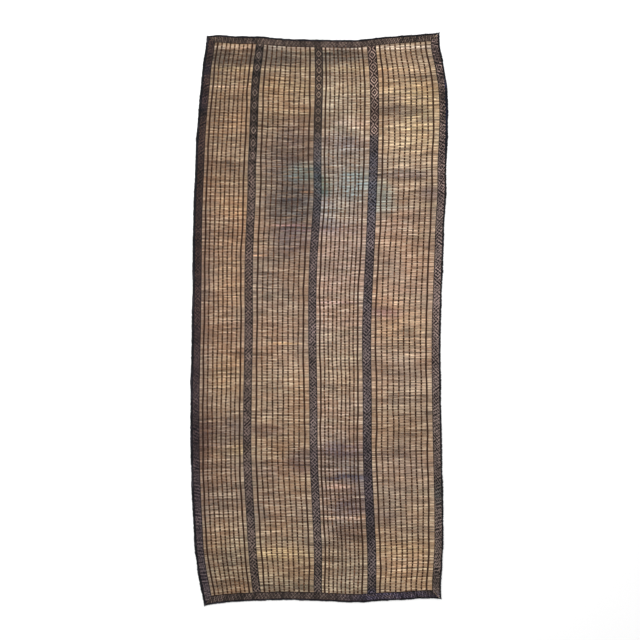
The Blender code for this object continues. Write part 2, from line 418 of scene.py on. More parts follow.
# Stains and wear: the first and last panel that patches keep to, then each patch's x and y, how far
# it reaches along each, and its tint
weathering = {
    (1, 4): (
        (0.0, 1.36, 1.6, 0.34, (0.97, 0.96, 0.94)),  # darker head
        (0.1, 0.1, 1.4, 0.7, (1.0, 0.985, 1.0)),  # pinker middle
        (0.0, -1.48, 1.6, 0.24, (0.99, 0.99, 0.97)),
    ),
    (1, 2): (
        (-0.38, 1.535, 0.6, 0.065, (0.74, 0.76, 0.8)),  # dark along the head
    ),
    (1, 1): (
        (-0.56, 0.85, 0.4, 1.1, (0.98, 0.95, 0.92)),
        (-0.71, 0.0, 0.11, 2.4, (0.91, 0.9, 0.92)),  # the left panel's worn side
        (-0.62, 1.5, 0.16, 0.12, (0.88, 0.89, 0.9)),
        (-0.56, 1.25, 0.22, 0.05, (0.94, 0.95, 0.97)),
        (-0.62, 1.1, 0.14, 0.14, (0.93, 0.92, 0.91)),
        (-0.48, 1.17, 0.1, 0.1, (1.07, 1.06, 1.05)),
        (-0.56, 0.88, 0.2, 0.08, (0.92, 0.92, 0.93)),
        (-0.48, -0.75, 0.09, 0.05, (1.08, 1.06, 1.0)),
        (-0.56, -0.86, 0.2, 0.05, (0.93, 0.93, 0.95)),
        (-0.5, 0.66, 0.14, 0.08, (1.05, 1.04, 1.02)),
        (-0.5, 0.22, 0.15, 0.2, (1.05, 1.04, 1.01)),
        (-0.5, -0.32, 0.18, 0.14, (1.06, 1.06, 1.03)),
        (-0.6, 0.55, 0.14, 0.1, (0.94, 0.94, 0.95)),
        (-0.57, -0.66, 0.24, 0.12, (0.86, 0.85, 0.88)),
        (-0.7, -0.72, 0.09, 0.22, (0.84, 0.8, 0.8)),
        (-0.57, -1.02, 0.24, 0.18, (0.91, 0.9, 0.92)),
        (-0.57, -1.48, 0.24, 0.16, (0.9, 0.91, 0.93)),
    ),
    (2, 2): (
        (-0.2, 1.36, 0.22, 0.08, (1.02, 1.01, 0.98)),
        (-0.33, 1.17, 0.12, 0.06, (0.9, 0.9, 0.9)),
        (-0.13, 1.1, 0.14, 0.11, (0.88, 0.88, 0.92)),
        (-0.17, 0.74, 0.19, 0.4, (0.9, 0.91, 0.94)),  # the big grey stain
        (-0.15, 0.7, 0.17, 0.17, (0.83, 0.85, 0.88)),
        (-0.18, 0.64, 0.26, 0.24, (0.91, 0.92, 0.94)),
        (-0.23, 0.88, 0.14, 0.12, (0.9, 0.91, 0.93)),
        (-0.1, 0.86, 0.13, 0.07, (0.99, 1.14, 1.2)),  # faded blue-green
        (-0.14, 0.48, 0.14, 0.12, (0.92, 0.92, 0.97)),
        (-0.2, 0.96, 0.24, 0.16, (0.9, 0.89, 0.91)),
        (-0.2, 0.36, 0.22, 0.05, (0.92, 0.92, 0.93)),
        (-0.28, 1.45, 0.18, 0.05, (0.9, 0.9, 0.91)),
        (-0.2, 0.26, 0.28, 0.28, (0.94, 0.94, 0.94)),
        (-0.2, -0.32, 0.22, 0.2, (1.03, 1.03, 1.02)),
        (-0.13, -0.36, 0.11, 0.07, (1.04, 1.05, 1.05)),
        (-0.32, -0.65, 0.14, 0.05, (0.87, 0.85, 0.88)),
        (-0.1, -0.82, 0.12, 0.09, (0.86, 0.86, 0.92)),
        (-0.33, -0.97, 0.12, 0.14, (0.91, 0.91, 0.93)),
        (-0.2, -1.1, 0.26, 0.1, (0.93, 0.93, 0.95)),
        (-0.36, -1.14, 0.09, 0.07, (0.88, 0.91, 0.95)),
        (-0.22, -1.37, 0.2, 0.06, (1.07, 1.06, 1.01)),
        (-0.18, -1.56, 0.22, 0.06, (0.9, 0.92, 0.94)),
        (-0.2, -0.88, 0.26, 0.08, (0.93, 0.92, 0.94)),
    ),
    (3, 3): (
        (0.1, 1.54, 0.26, 0.06, (0.73, 0.76, 0.8)),
        (0.13, -0.05, 0.4, 2.2, (1.07, 1.08, 1.12)),  # paler, greyer panel
        (0.15, 1.3, 0.24, 0.26, (1.0, 1.03, 1.04)),
        (0.18, 1.35, 0.2, 0.05, (1.06, 1.06, 1.05)),
        (0.18, 1.15, 0.12, 0.04, (1.08, 1.08, 1.1)),
        (0.14, 0.82, 0.24, 0.3, (0.93, 0.99, 1.04)),
        (0.2, 0.79, 0.13, 0.11, (0.94, 1.02, 1.06)),
        (0.15, 1.03, 0.18, 0.06, (0.9, 0.89, 0.92)),
        (0.01, 0.78, 0.07, 0.08, (0.82, 0.93, 0.92)),
        (0.03, 0.63, 0.08, 0.13, (0.9, 0.92, 0.96)),
        (0.22, 1.15, 0.07, 0.06, (1.08, 1.08, 1.08)),
        (0.1, 0.63, 0.09, 0.08, (1.06, 1.07, 1.05)),
        (0.18, 0.1, 0.16, 0.09, (1.03, 1.065, 1.07)),
        (0.13, -0.25, 0.24, 0.28, (1.01, 1.01, 0.965)),
        (0.15, -1.36, 0.24, 0.18, (0.96, 0.955, 0.94)),
        (0.21, -0.9, 0.08, 0.1, (0.92, 0.92, 0.93)),
        (0.13, 0.54, 0.2, 0.05, (0.94, 0.94, 0.97)),
        (0.13, -0.76, 0.2, 0.06, (0.86, 0.85, 0.91)),
        (0.16, -1.0, 0.22, 0.36, (0.84, 0.84, 0.88)),
        (0.15, -0.93, 0.16, 0.024, (0.74, 0.77, 0.88)),
        (0.18, -1.1, 0.13, 0.05, (0.84, 0.84, 0.89)),
        (0.18, -1.26, 0.13, 0.06, (0.88, 0.88, 0.9)),
    ),
    (4, 4): (
        (0.5, 0.0, 0.6, 2.6, (1.055, 1.05, 1.05)),  # light right panel
        (0.5, 1.36, 0.26, 0.06, (1.07, 1.07, 1.05)),
        (0.6, 1.24, 0.14, 0.2, (1.08, 1.08, 1.04)),
        (0.46, 1.23, 0.2, 0.04, (0.84, 0.84, 0.87)),
        (0.54, 1.04, 0.2, 0.13, (1.08, 1.09, 1.07)),
        (0.34, 0.93, 0.08, 0.06, (0.93, 0.95, 1.0)),
        (0.5, 0.85, 0.24, 0.035, (0.88, 0.88, 0.93)),
        (0.36, 0.72, 0.1, 0.13, (0.91, 1.01, 1.06)),
        (0.65, 0.74, 0.08, 0.06, (0.8, 0.79, 0.84)),
        (0.42, 0.62, 0.2, 0.18, (1.0, 1.02, 1.06)),
        (0.6, 0.44, 0.14, 0.04, (0.95, 0.94, 0.94)),
        (0.39, 0.04, 0.12, 0.04, (0.9, 0.87, 0.94)),
        (0.5, -0.05, 0.22, 0.16, (1.07, 1.05, 1.0)),
        (0.44, 0.14, 0.2, 0.08, (1.07, 1.07, 1.07)),
        (0.5, -1.25, 0.24, 0.07, (0.93, 0.93, 0.93)),
        (0.5, -0.62, 0.26, 0.3, (0.95, 0.95, 0.95)),
        (0.48, -0.88, 0.26, 0.2, (0.94, 0.93, 0.95)),
        (0.52, -0.95, 0.2, 0.05, (1.05, 1.04, 1.02)),
        (0.52, -0.3, 0.22, 0.06, (0.94, 0.94, 0.94)),
        (0.36, -1.14, 0.12, 0.09, (0.84, 0.84, 0.88)),
        (0.54, -1.33, 0.2, 0.06, (1.03, 1.03, 1.01)),
        (0.48, -1.43, 0.24, 0.06, (1.1, 1.11, 1.13)),
    ),
}

# Single rows of reeds that stand out, given the same way
rows = {
    (1, 4): (
        (0.0, 1.592, 1.2, 0.016, (1.16, 1.2, 1.26)),  # a paler row of reeds beside the head border
        (0.0, 1.465, 1.0, 0.012, (1.12, 1.12, 1.1)),
    ),
    (1, 2): (
        (-0.5, -1.325, 0.3, 0.006, (1.13, 1.14, 1.14)),
    ),
    (1, 1): (
        (-0.56, 1.365, 0.2, 0.006, (1.2, 1.21, 1.25)),
        (-0.56, 1.1, 0.16, 0.006, (1.15, 1.15, 1.16)),
        (-0.6, -0.74, 0.14, 0.007, (1.16, 1.18, 1.22)),
        (-0.6, -1.285, 0.2, 0.008, (1.2, 1.22, 1.24)),
        (-0.406, 1.377, 0.009, 0.007, (1.28, 1.32, 1.36)),  # two bare pale spots
    ),
    (2, 2): (
        (-0.074, 0.745, 0.05, 0.009, (1.22, 1.1, 0.98)),
        (-0.17, 0.551, 0.15, 0.007, (1.3, 1.22, 1.24)),
        (-0.34, 0.375, 0.08, 0.006, (1.28, 1.22, 1.16)),
        (-0.2, -0.14, 0.12, 0.006, (1.24, 1.2, 1.08)),
        (-0.16, 0.7, 0.15, 0.014, (0.84, 0.86, 0.9)),
        (-0.16, 0.615, 0.14, 0.01, (0.8, 0.84, 0.88)),
    ),
    (2, 3): (
        (-0.1, 0.536, 0.2, 0.006, (0.66, 0.66, 0.7)),
        (-0.08, 0.522, 0.2, 0.005, (1.24, 1.2, 1.24)),
    ),
    (3, 3): (
        (0.1, -0.978, 0.1, 0.016, (1.3, 1.29, 1.29)),
        (0.15, -1.162, 0.17, 0.01, (1.3, 1.3, 1.28)),
        (0.13, 0.1, 0.16, 0.01, (1.08, 1.06, 1.1)),
    ),
    (3, 4): (
        (0.25, -0.79, 0.35, 0.008, (0.76, 0.74, 0.76)),
    ),
    (4, 4): (
        (0.5, 1.3, 0.2, 0.006, (1.15, 1.17, 1.2)),
        (0.675, 1.29, 0.009, 0.007, (1.26, 1.3, 1.34)),
    ),
}


def reedFinish():
    # tone = 1 + streaks of bundles, of a few reeds and of single reeds - painted shade along the lines
    # between bundles; the colour is a straw shade x tone^displayPower, paler where the tone is high
    finish = Finish("reeds")
    across, along = finish.across, finish.along
    number = (along / reeds["pitch"]).of("FLOOR")

    def streaks(name, row=number):
        # a noise at (across x a, row x b, c)
        a, b, c, detail, roughness = reeds["noises"][name]
        return finish.noise(finish.point(across * a, row * b, c), 1.0, detail, roughness)

    bundle = number / reeds["bundle"] + (streaks("warp") - 0.5) * reeds["warp"]
    short, own = streaks("short"), streaks("own")
    hue = finish.noise(finish.where, *reeds["hue"])
    tone = 1 + (streaks("bunch", bundle.of("ROUND")) - 0.5) * reeds["bunch"]
    tone = tone + (streaks("long") - 0.5) * reeds["streak"] + (short - 0.5) * reeds["shortStreak"]
    tone = tone + (own - 0.5) * reeds["ownStreak"] + (streaks("fibre") - 0.5) * reeds["fibre"]
    # painted shade: the reeds are darkened along the lines between bundles, where shade would fall
    paintedGapShade = finish.line(finish.zigzag(bundle + 0.5), *reeds["paintedGapShadeLine"]) * finish.ease(short, 0.25, 0.55)
    tone = tone - paintedGapShade * reeds["paintedGapShade"]
    bright = tone.of("MAXIMUM", reeds["darkest"]).of("MINIMUM", reeds["palest"]) ** displayPower
    shade = {name: linear(value) for name, value in reeds["shades"].items()}
    colour = finish.mix(finish.ease(hue, 0.3, 0.7), shade["warm"], shade["pale"])
    olive = finish.ease(streaks("olive"), 0.5, 0.7) * reeds["oliveShare"]
    colour = finish.mix(olive, colour, shade["olive"])
    cream = finish.ease(tone, 1.0, 1.25) * reeds["creamShare"]
    colour = finish.mix(cream, colour, shade["cream"])
    colour = finish.mix(1.0, colour, finish.point(bright, bright, bright), "MULTIPLY")
    colour = finish.stains(colour, weathering)
    colour = finish.stains(colour, rows)
    alongGrain, roundGrain = reeds["grain"]
    grain = finish.noise(finish.point(across * alongGrain, along * roundGrain), 1.0, 2.0, 0.6)
    finish.bump(grain)
    return finish.done(colour, finish.ease(own, 0.2, 0.9) * 0.2 + 0.6, 0.2)


def makeReeds():
    # each reed is an ellipse carried along y = layAlong(share, rise), x between the side edgings
    count = round((endLevel["head"] - endLevel["foot"]) / reeds["pitch"])
    steps = 2 * np.arange(reeds["segments"] + 1) / reeds["segments"] - 1
    share = 0.5 + 0.5 * ((1 + reeds["crowd"]) * steps - reeds["crowd"] * steps**3)
    rise = (np.arange(count) + 0.5) / count
    y = layAlong(share[None, :], rise[:, None])
    left, right = sideAt("left", y[:, :1]), sideAt("right", y[:, -1:])
    x = left + share * (right - left)
    y = y + chance.normal(0, reeds["waver"], y.shape)
    z = reeds["middle"] + chance.normal(0, reeds["waver"], y.shape)
    fromReed, alongReed = reeds["thickSpread"]
    size = 1 + chance.normal(0, fromReed, (count, 1)) + chance.normal(0, alongReed, y.shape)
    angle = (np.arange(reeds["sides"]) + 0.5) / reeds["sides"] * 2 * math.pi
    grid = np.stack([
        np.broadcast_to(x[:, :, None], (*x.shape, len(angle))),
        y[:, :, None] + size[:, :, None] * reeds["width"] / 2 * np.cos(angle),
        z[:, :, None] + size[:, :, None] * reeds["height"] / 2 * np.sin(angle),
    ], axis=-1)
    turn = np.arange(reeds["sides"] + 1) / reeds["sides"]
    shape = (count, len(share), len(turn))
    u = np.broadcast_to((share * reeds["mapWidth"])[None, :, None], shape)
    v = np.broadcast_to(((np.arange(count) + 0.5) * reeds["pitch"])[:, None, None], shape)
    # the bake's map: a row of the image for each reed, with a small margin all round
    sideMargin, rowMargin = reeds["margins"]
    bakeU = np.broadcast_to((sideMargin + (1 - 2 * sideMargin) * share)[None, :, None], shape)
    bakeRow = np.arange(count)[:, None, None] + rowMargin + (1 - 2 * rowMargin) * turn
    bakeV = np.broadcast_to(bakeRow / count, shape)
    piece = skin("reed_weave", grid, {"lay": (u, v), "OFBake": (bakeU, bakeV)}, reedFinish())
    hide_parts("reed_ground")
    print("reeds:", count, "of", reeds["pitch"] * 1000, "mm")


thongs = {
    "over": 4,  # reeds that a thong passes over before it goes under one
    "perPanel": (9, 10, 10, 10),
    "width": 0.0094,
    "endWidth": 0.0106,
    "thick": 0.0008,
    "top": 0.0057,
    "low": 0.0010,
    "endDip": 0.0003,
    "shade": (48, 30, 20),
    "wornShade": (112, 80, 60),
    "endShade": (52, 36, 27),
    # how far in from a reed's edge it starts and ends, above the reeds and under one, in reeds
    "place": (0.05, -0.05, 0.28, -0.28),
    "stagger": (1.0, 3.0),  # where the even and the odd ones start, in reeds
    "wander": (0.0011, 40),  # how far each strays sideways, and over how many places
    "panelWander": (0.0012, 55),
    "mostWander": 0.0030,
    "widthSpread": 0.06,
    "topSpread": 0.00004,
    "rowGap": 0.006,  # the ribs' crests have rows of points; two rows lie further apart than this
    "wornNoise": (60.0, 3.0, 0.6),
    "grain": (700.0, 2.0, 0.6),
    "endShare": 0.9,
    "stained": 0.5,  # how much of the reeds' stains the thongs take
}


def thongLines():
    # the CAD ribs' crests: rows of 2 points a thong; a row is known by its place before the bow
    crest = nodePoints("reed_ground", levels["thongCrest"])
    long = endLevel["head"] - endLevel["foot"]
    left, right = sideAt("left", crest[:, 1]), sideAt("right", crest[:, 1])
    share = (crest[:, 0] - left) / (right - left)
    rise = (crest[:, 1] - endLevel["foot"]) / long
    for _ in range(4):
        bow = endBow("head", share) * rise**3 + endBow("foot", share) * (1 - rise) ** 3
        rise = (crest[:, 1] - bow - endLevel["foot"]) / long
    order = np.argsort(rise)
    breaks = np.flatnonzero(np.diff(rise[order]) * long > thongs["rowGap"]) + 1
    rows = [crest[index] for index in np.split(order, breaks)]
    rows = np.array([row[np.argsort(row[:, 0])] for row in rows])
    return rows.reshape(len(rows), -1, 2, 2).mean(axis=2)  # row, thong, (x, y)


def thongFinish():
    # worn brown leather, darker on the first and last thong of a panel
    finish = Finish("thong_leather")
    dark = finish.node("ShaderNodeAttribute", {"attribute_name": "end"}, None, "Fac")
    worn = finish.noise(finish.where, *thongs["wornNoise"])
    shade, wornShade, endShade = [linear(thongs[name]) for name in ("shade", "wornShade", "endShade")]
    colour = finish.mix(finish.ease(worn, 0.45, 0.75), shade, wornShade)
    colour = finish.mix(dark * thongs["endShare"], colour, endShade)
    colour = finish.stains(colour, weathering, thongs["stained"], False)
    finish.bump(finish.noise(finish.where, *thongs["grain"]), 0.0003)
    return finish.done(colour, finish.ease(worn, 0.2, 0.9) * 0.25 + 0.55, 0.12)


def makeThongs():
    # a flat strip over 4 reeds and under 1: z(reed) is high for 4 pitches and low in the fifth;
    # the first and last thong of a panel stay on top
    lines = thongLines()
    count = lines.shape[1]
    period = thongs["over"] + 1
    reedCount = round((endLevel["head"] - endLevel["foot"]) / reeds["pitch"])
    periods = reedCount // period - 1
    inPeriod = np.array([0, thongs["over"], thongs["over"], period]) + thongs["place"]
    place = (np.arange(periods)[:, None] * period + inPeriod).ravel()
    dips = np.tile([0, 0, 1, 1], periods)
    stagger = np.where(np.arange(count) % 2 == 0, *thongs["stagger"])[:, None]
    rise = (place[None, :] + stagger) / reedCount
    x = np.empty((count, len(place)))
    y = np.empty_like(x)
    for thong in range(count):
        share = np.full(len(place), 0.5)
        for _ in range(3):
            y[thong] = layAlong(share, rise[thong])
            x[thong] = curve(lines[:, thong, 1], lines[:, thong, 0], y[thong])
            left, right = sideAt("left", y[thong]), sideAt("right", y[thong])
            share = (x[thong] - left) / (right - left)
    panel = np.repeat(np.arange(4), thongs["perPanel"])
    ends = np.flatnonzero(np.diff(panel, prepend=-1) + np.diff(panel, append=4))
    atEnd = np.isin(np.arange(count), ends).astype(float)[:, None]
    wander = drift(x.shape, *thongs["wander"])
    wander = wander + drift((4, x.shape[1]), *thongs["panelWander"])[panel]
    wander = np.clip(wander, -thongs["mostWander"], thongs["mostWander"])
    width = thongs["width"] + atEnd * (thongs["endWidth"] - thongs["width"])
    width = width * (1 + chance.normal(0, thongs["widthSpread"], x.shape))
    depth = thongs["top"] - thongs["low"] + atEnd * (thongs["endDip"] - thongs["top"] + thongs["low"])
    top = thongs["top"] - dips * depth + chance.normal(0, thongs["topSpread"], x.shape)
    offset = np.array([-0.5, -0.3, 0.3, 0.5])  # left edge, left shoulder, right shoulder, right edge
    drop = np.array([1.0, 0.0, 0.0, 1.0]) * thongs["thick"]
    grid = np.stack([
        (x + wander)[:, :, None] + width[:, :, None] * offset,
        np.broadcast_to(y[:, :, None], (*y.shape, 4)),
        top[:, :, None] - drop,
    ], axis=-1)
    girth = np.array([0.0, 0.2, 0.8, 1.0, 2.0]) * thongs["width"]
    u = np.broadcast_to(girth, (count, len(place), len(girth)))
    v = np.broadcast_to((place * reeds["pitch"])[None, :, None], u.shape)
    half = thongs["perPanel"][0] + thongs["perPanel"][1]
    for name, chosen in (("thongs_left", slice(0, half)), ("thongs_right", slice(half, count))):
        piece = skin(name, grid[chosen], {"lay": (u[chosen], v[chosen])}, thongFinish())
        mark = np.repeat(atEnd[chosen], len(place) * 4).astype(np.float32)
        piece.data.attributes.new("end", "FLOAT", "POINT").data.foreach_set("value", mark)


def makeStrip(part, side, lines, axis, form, material, relief):
    # z over the top = shoulder + (crown - shoulder + relief)(1 - |2a - 1|^6), a the share across, less
    # a tuck at both ends; its underside is flat, with a raised lip at either edge
    first, second, run = pair(*lines, axis, form["step"])
    steps = np.linspace(-1, 1, form["across"])
    top = 0.5 + 0.5 * ((1 + form["crowd"]) * steps - form["crowd"] * steps**3)
    below = np.array([1.0, 0.97, 0.5, 0.03, 0.0])  # shares of the points on its underside
    share = np.concatenate([top, below])
    places = first[:, None] * (1 - share)[:, None] + second[:, None] * share[:, None]
    crown = 1 - abs(2 * top - 1) ** 6
    high = form["shoulder"] + (form["crown"] - form["shoulder"]) * crown
    high = high + relief(top[None, :], run[:, None] - run[-1] / 2) * crown
    fromEnd = np.minimum(run, run[-1] - run)
    high = high - np.clip(1 - fromEnd / form["tuckLength"], 0, 1)[:, None] * form["tuck"]
    low = form["under"] + np.array([form["lip"], 0, 0, 0, form["lip"]])
    z = np.concatenate([high, np.broadcast_to(low, (len(run), len(low)))], axis=1)
    grid = np.concatenate([places, z[:, :, None]], axis=2)[None]
    u = np.concatenate([top, 2.15 - below, [2.3]]) * form["width"]  # its underside's map lies beside
    u = np.broadcast_to(u, (1, len(run), len(u)))
    v = np.broadcast_to((run - run[-1] / 2)[None, :, None], u.shape)
    piece = skin(f"{part}_{form['made']}_{side}", grid, {"lay": (u, v)}, material)
    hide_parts(f"{part}_{side}")


bandForm = {
    "made": "weave",
    "step": 0.0022,
    "across": 17,
    "crowd": 0.35,  # how much closer its points lie toward its edges
    "width": 0.050,
    "shoulder": 0.0050,
    "crown": 0.0061,
    "under": 0.0002,
    "lip": 0.0008,
    "tuck": 0.0009,
    "tuckLength": 0.004,
    "dome": 0.00028,  # height of a lozenge's raised middle
    "weave": 0.00008,
}
borderForm = bandForm | {
    "made": "strip",
    "step": 0.0026,
    "across": 15,
    "width": 0.044,
    "tuck": 0.0,
    "ridge": 0.00018,
    "ridgeLength": 0.033,
}

# The worked leather: lozenges `length` apart along the strip, one of them `start` from its middle, in
# one or two columns; a lozenge's half width and length; its rings as (share of the half, half of
# the line's width, strength); the strength of the lattice under them where the pattern is clear, and
# where it is dull; fade, the y where it turns clear; wobble, how far the lines wander
bandLooks = {
    "left": {
        "columns": 1, "length": 0.0735, "start": 1.469, "half": (0.0135, 0.0190), "fade": (0.80, 1.05),
        "rings": ((0.0, 0.0014, 1.0), (1.0, 0.0009, 1.0), (2.1, 0.0008, 0.4)), "lattice": (0.06, 0.50),
        "line": (206, 180, 166), "ground": (9, 7, 7), "edge": (14, 11, 13), "wobble": 0.004,
        "dullLine": (204, 176, 164), "dullGround": (18, 14, 14), "dullRings": 0.6,
    },
    "middle": {
        "columns": 1, "length": 0.0480, "start": 1.318, "half": (0.0145, 0.0175), "fade": (1.02, 1.16),
        "rings": ((0.0, 0.0014, 1.0), (1.0, 0.0009, 1.0), (2.1, 0.0008, 0.4)), "lattice": (0.05, 0.50),
        "line": (208, 174, 150), "ground": (15, 11, 10), "edge": (20, 16, 16), "wobble": 0.004,
        "dullLine": (200, 174, 162), "dullGround": (19, 17, 18), "dullRings": 0.55,
    },
    "right": {
        "columns": 1, "length": 0.0735, "start": 1.330, "half": (0.0160, 0.0205), "fade": (1.06, 1.09),
        "rings": ((0.0, 0.0016, 1.0), (1.0, 0.0010, 1.0), (2.05, 0.0009, 0.9)), "lattice": (0.15, 0.45),
        "line": (252, 214, 194), "ground": (30, 20, 18), "edge": (20, 15, 17), "wobble": 0.004,
        "dullLine": (180, 160, 154), "dullGround": (20, 17, 19), "dullRings": 0.55,
    },
}
borderLooks = {
    "left": {
        "columns": 1, "length": 0.056, "start": 0.0, "half": (0.0165, 0.0185), "fade": (-1.7, 0.6),
        "rings": ((0.0, 0.0014, 0.8), (1.0, 0.0009, 0.8), (2.0, 0.0009, 0.8)), "lattice": (0.35, 0.45),
        "line": (128, 102, 92), "ground": (13, 10, 12), "edge": (18, 16, 20), "wobble": 0.008,
        "dullLine": (166, 146, 146), "dullGround": (24, 20, 25), "dullRings": 0.6,
    },
    "right": {
        "columns": 1, "length": 0.058, "start": 0.0, "half": (0.0165, 0.0190), "fade": (0.5, 0.9),
        "rings": ((0.0, 0.0014, 0.8), (1.0, 0.0011, 0.9), (2.0, 0.0011, 0.9)), "lattice": (0.25, 0.60),
        "line": (174, 148, 140), "ground": (11, 9, 10), "edge": (16, 13, 15), "wobble": 0.008,
        "dullLine": (182, 160, 150), "dullGround": (22, 18, 19), "dullRings": 0.55,
    },
    "ends": {
        "columns": 2, "length": 0.0210, "start": 0.0, "half": (0.0110, 0.0105), "fade": (0.0, 0.1),
        "rings": ((0.0, 0.0011, 0.9), (1.0, 0.0006, 0.9), (2.0, 0.0011, 0.9)), "lattice": (0.0, 0.0),
        "line": (176, 150, 136), "ground": (11, 9, 10), "edge": (12, 10, 12), "wobble": 0.004,
        "dullLine": (170, 146, 136), "dullGround": (11, 9, 11), "dullRings": 0.9,
    },
}


def bandRelief(look):
    # h = dome (1 - d) on the lozenges, d = |across| / half + |along| / half, and a faint weave
    def height(share, run):
        # that h at a share of the width and a place along the band
        along = (run - look["start"] + look["length"] / 2) % look["length"] - look["length"] / 2
        d = abs(share - 0.5) * bandForm["width"] / look["half"][0] + abs(along) / look["half"][1]
        weave = bandForm["weave"] * np.sin(run / reeds["pitch"] * math.pi)
        return bandForm["dome"] * np.clip(1 - d, -0.4, 1) + weave

    return height


def chevronRelief(share, run):
    # h = ridge cos(2 pi (along / length + |share - 1/2|))
    turns = run / borderForm["ridgeLength"] + abs(share - 0.5)
    return borderForm["ridge"] * np.cos(turns * 2 * math.pi)


# Wear of all leather: tints that lie over bands and borders alike, given as for the reeds
leatherWear = {
    (1, 4): (
        (0.74, 0.0, 0.08, 0.9, (1.22, 1.22, 1.22)),  # rubbed pale middle of the right border
        (0.02, -0.2, 0.06, 0.5, (1.12, 1.1, 1.1)),
        (0.0, 0.8, 0.1, 0.3, (0.88, 0.92, 0.94)),  # blue-black
        (0.3, 0.8, 0.1, 0.3, (0.92, 0.94, 0.96)),
        (0.28, -1.15, 0.1, 0.45, (0.9, 0.9, 0.92)),
        (0.45, -1.63, 0.35, 0.06, (0.92, 0.96, 1.14)),
        (-0.73, 1.4, 0.08, 0.25, (0.9, 0.94, 1.06)),
        (-0.7, 1.47, 0.08, 0.05, (0.82, 0.88, 0.98)),
        (-0.72, 1.22, 0.08, 0.05, (0.8, 0.86, 0.87)),
        (0.71, -1.02, 0.06, 0.1, (0.86, 0.92, 0.93)),
    ),
}

# What all worked leather shares; noises are given as scale, detail and roughness
leatherForm = {
    "push": (14.0, 2.0, 0.6),
    "weave": (30.0, 2.0, 0.6),
    "worn": (5.0, 4.0, 0.65),
    "grain": (120.0, 3.0, 0.6),
    "pores": (500.0, 3.0, 0.6),
    "lineSoft": 0.0009,
    "spacing": 0.0210,
    "latticeLine": (0.0, 0.10, 0.24),
    "pick": (3.7, 90.0),  # noise places from lozenge to lozenge, and for each width of strip
    "bareEdge": (0.002, 0.005),  # the lines end between these distances from the strip's edges
    "wornLighter": 1.7,
    "dust": (104, 90, 84),
    "dustShare": 0.15,
    "stained": 0.5,
}


def leather(name, look, width):
    # rings of lozenges at d = |across| / half + |along| / half, made metres by `scale`, over two
    # diagonals; lines on a dark ground, rubbed off by two noises, that end short of the edges;
    # near is 1 where the pattern is clear and 0 where it is dull
    finish = Finish(name)
    form = leatherForm
    push = finish.noise(finish.where, *form["push"], "Color")
    across = finish.across + (finish.part(push, "X") - 0.5) * (look["wobble"] * 0.5)
    run = finish.along + (finish.part(push, "Y") - 0.5) * look["wobble"]
    place = (run - look["start"]) / look["length"]
    along = finish.zigzag(place) * (look["length"] / 2)
    scale = math.prod(look["half"]) / math.hypot(*look["half"])
    away = (1 - finish.zigzag(across * (look["columns"] / width))) * (width / 2 / look["columns"])
    d = away * (scale / look["half"][0]) + along * (scale / look["half"][1])
    near = finish.ease(finish.north, *look["fade"])
    each, own = form["pick"]
    chosen = finish.noise(finish.point(place.of("ROUND") * each, width * own), 1.0, 1.0, 0.5)
    strength = near * (1 - look["dullRings"]) + look["dullRings"]
    seen = (finish.ease(chosen, 0.35, 0.60) * 0.6 + 0.4) * strength
    clear, dull = look["lattice"]
    weave = finish.noise(finish.where, *form["weave"])
    rise = finish.line(finish.zigzag((run + across) / form["spacing"]), *form["latticeLine"])
    fall = finish.line(finish.zigzag((run - across) / form["spacing"]), *form["latticeLine"])
    lattice = (rise * finish.ease(weave, 0.38, 0.52)).of("MAXIMUM", fall * finish.ease(weave, 0.62, 0.48))
    lines = lattice * (near * (clear - dull) + dull)
    for at, half, ring in look["rings"]:
        lines = lines.of("MAXIMUM", finish.line(d, at * scale, half, form["lineSoft"]) * seen * ring)
    outer, inner = [width / 2 - distance for distance in form["bareEdge"]]
    inside = finish.ease(abs(finish.across - width / 2), outer, inner)
    worn = finish.noise(finish.where, *form["worn"])
    grain = finish.noise(finish.where, *form["grain"])
    rubbed = (finish.ease(worn, 0.30, 0.60) * 0.5 + 0.5) * (finish.ease(grain, 0.38, 0.56) * 0.65 + 0.35)
    lines = lines * inside * rubbed
    ground = finish.mix(near, linear(look["dullGround"]), linear(look["ground"]))
    lighter = linear(tuple(shade * form["wornLighter"] for shade in look["dullGround"]))
    ground = finish.mix(finish.ease(worn, 0.35, 0.7) * 0.5, ground, lighter)
    ground = finish.mix(inside, linear(look["edge"]), ground)
    colour = finish.mix(lines, ground, finish.mix(near, linear(look["dullLine"]), linear(look["line"])))
    dust = finish.ease(grain, 0.62, 0.85) * form["dustShare"]
    colour = finish.mix(dust, colour, linear(form["dust"]))
    colour = finish.stains(colour, weathering, form["stained"], False)
    colour = finish.stains(colour, leatherWear, 1.0, False)
    finish.bump(lines * 0.4 + finish.noise(finish.where, *form["pores"]))
    return finish.done(colour, finish.ease(grain, 0.2, 0.8) * 0.25 + 0.6, 0.12)


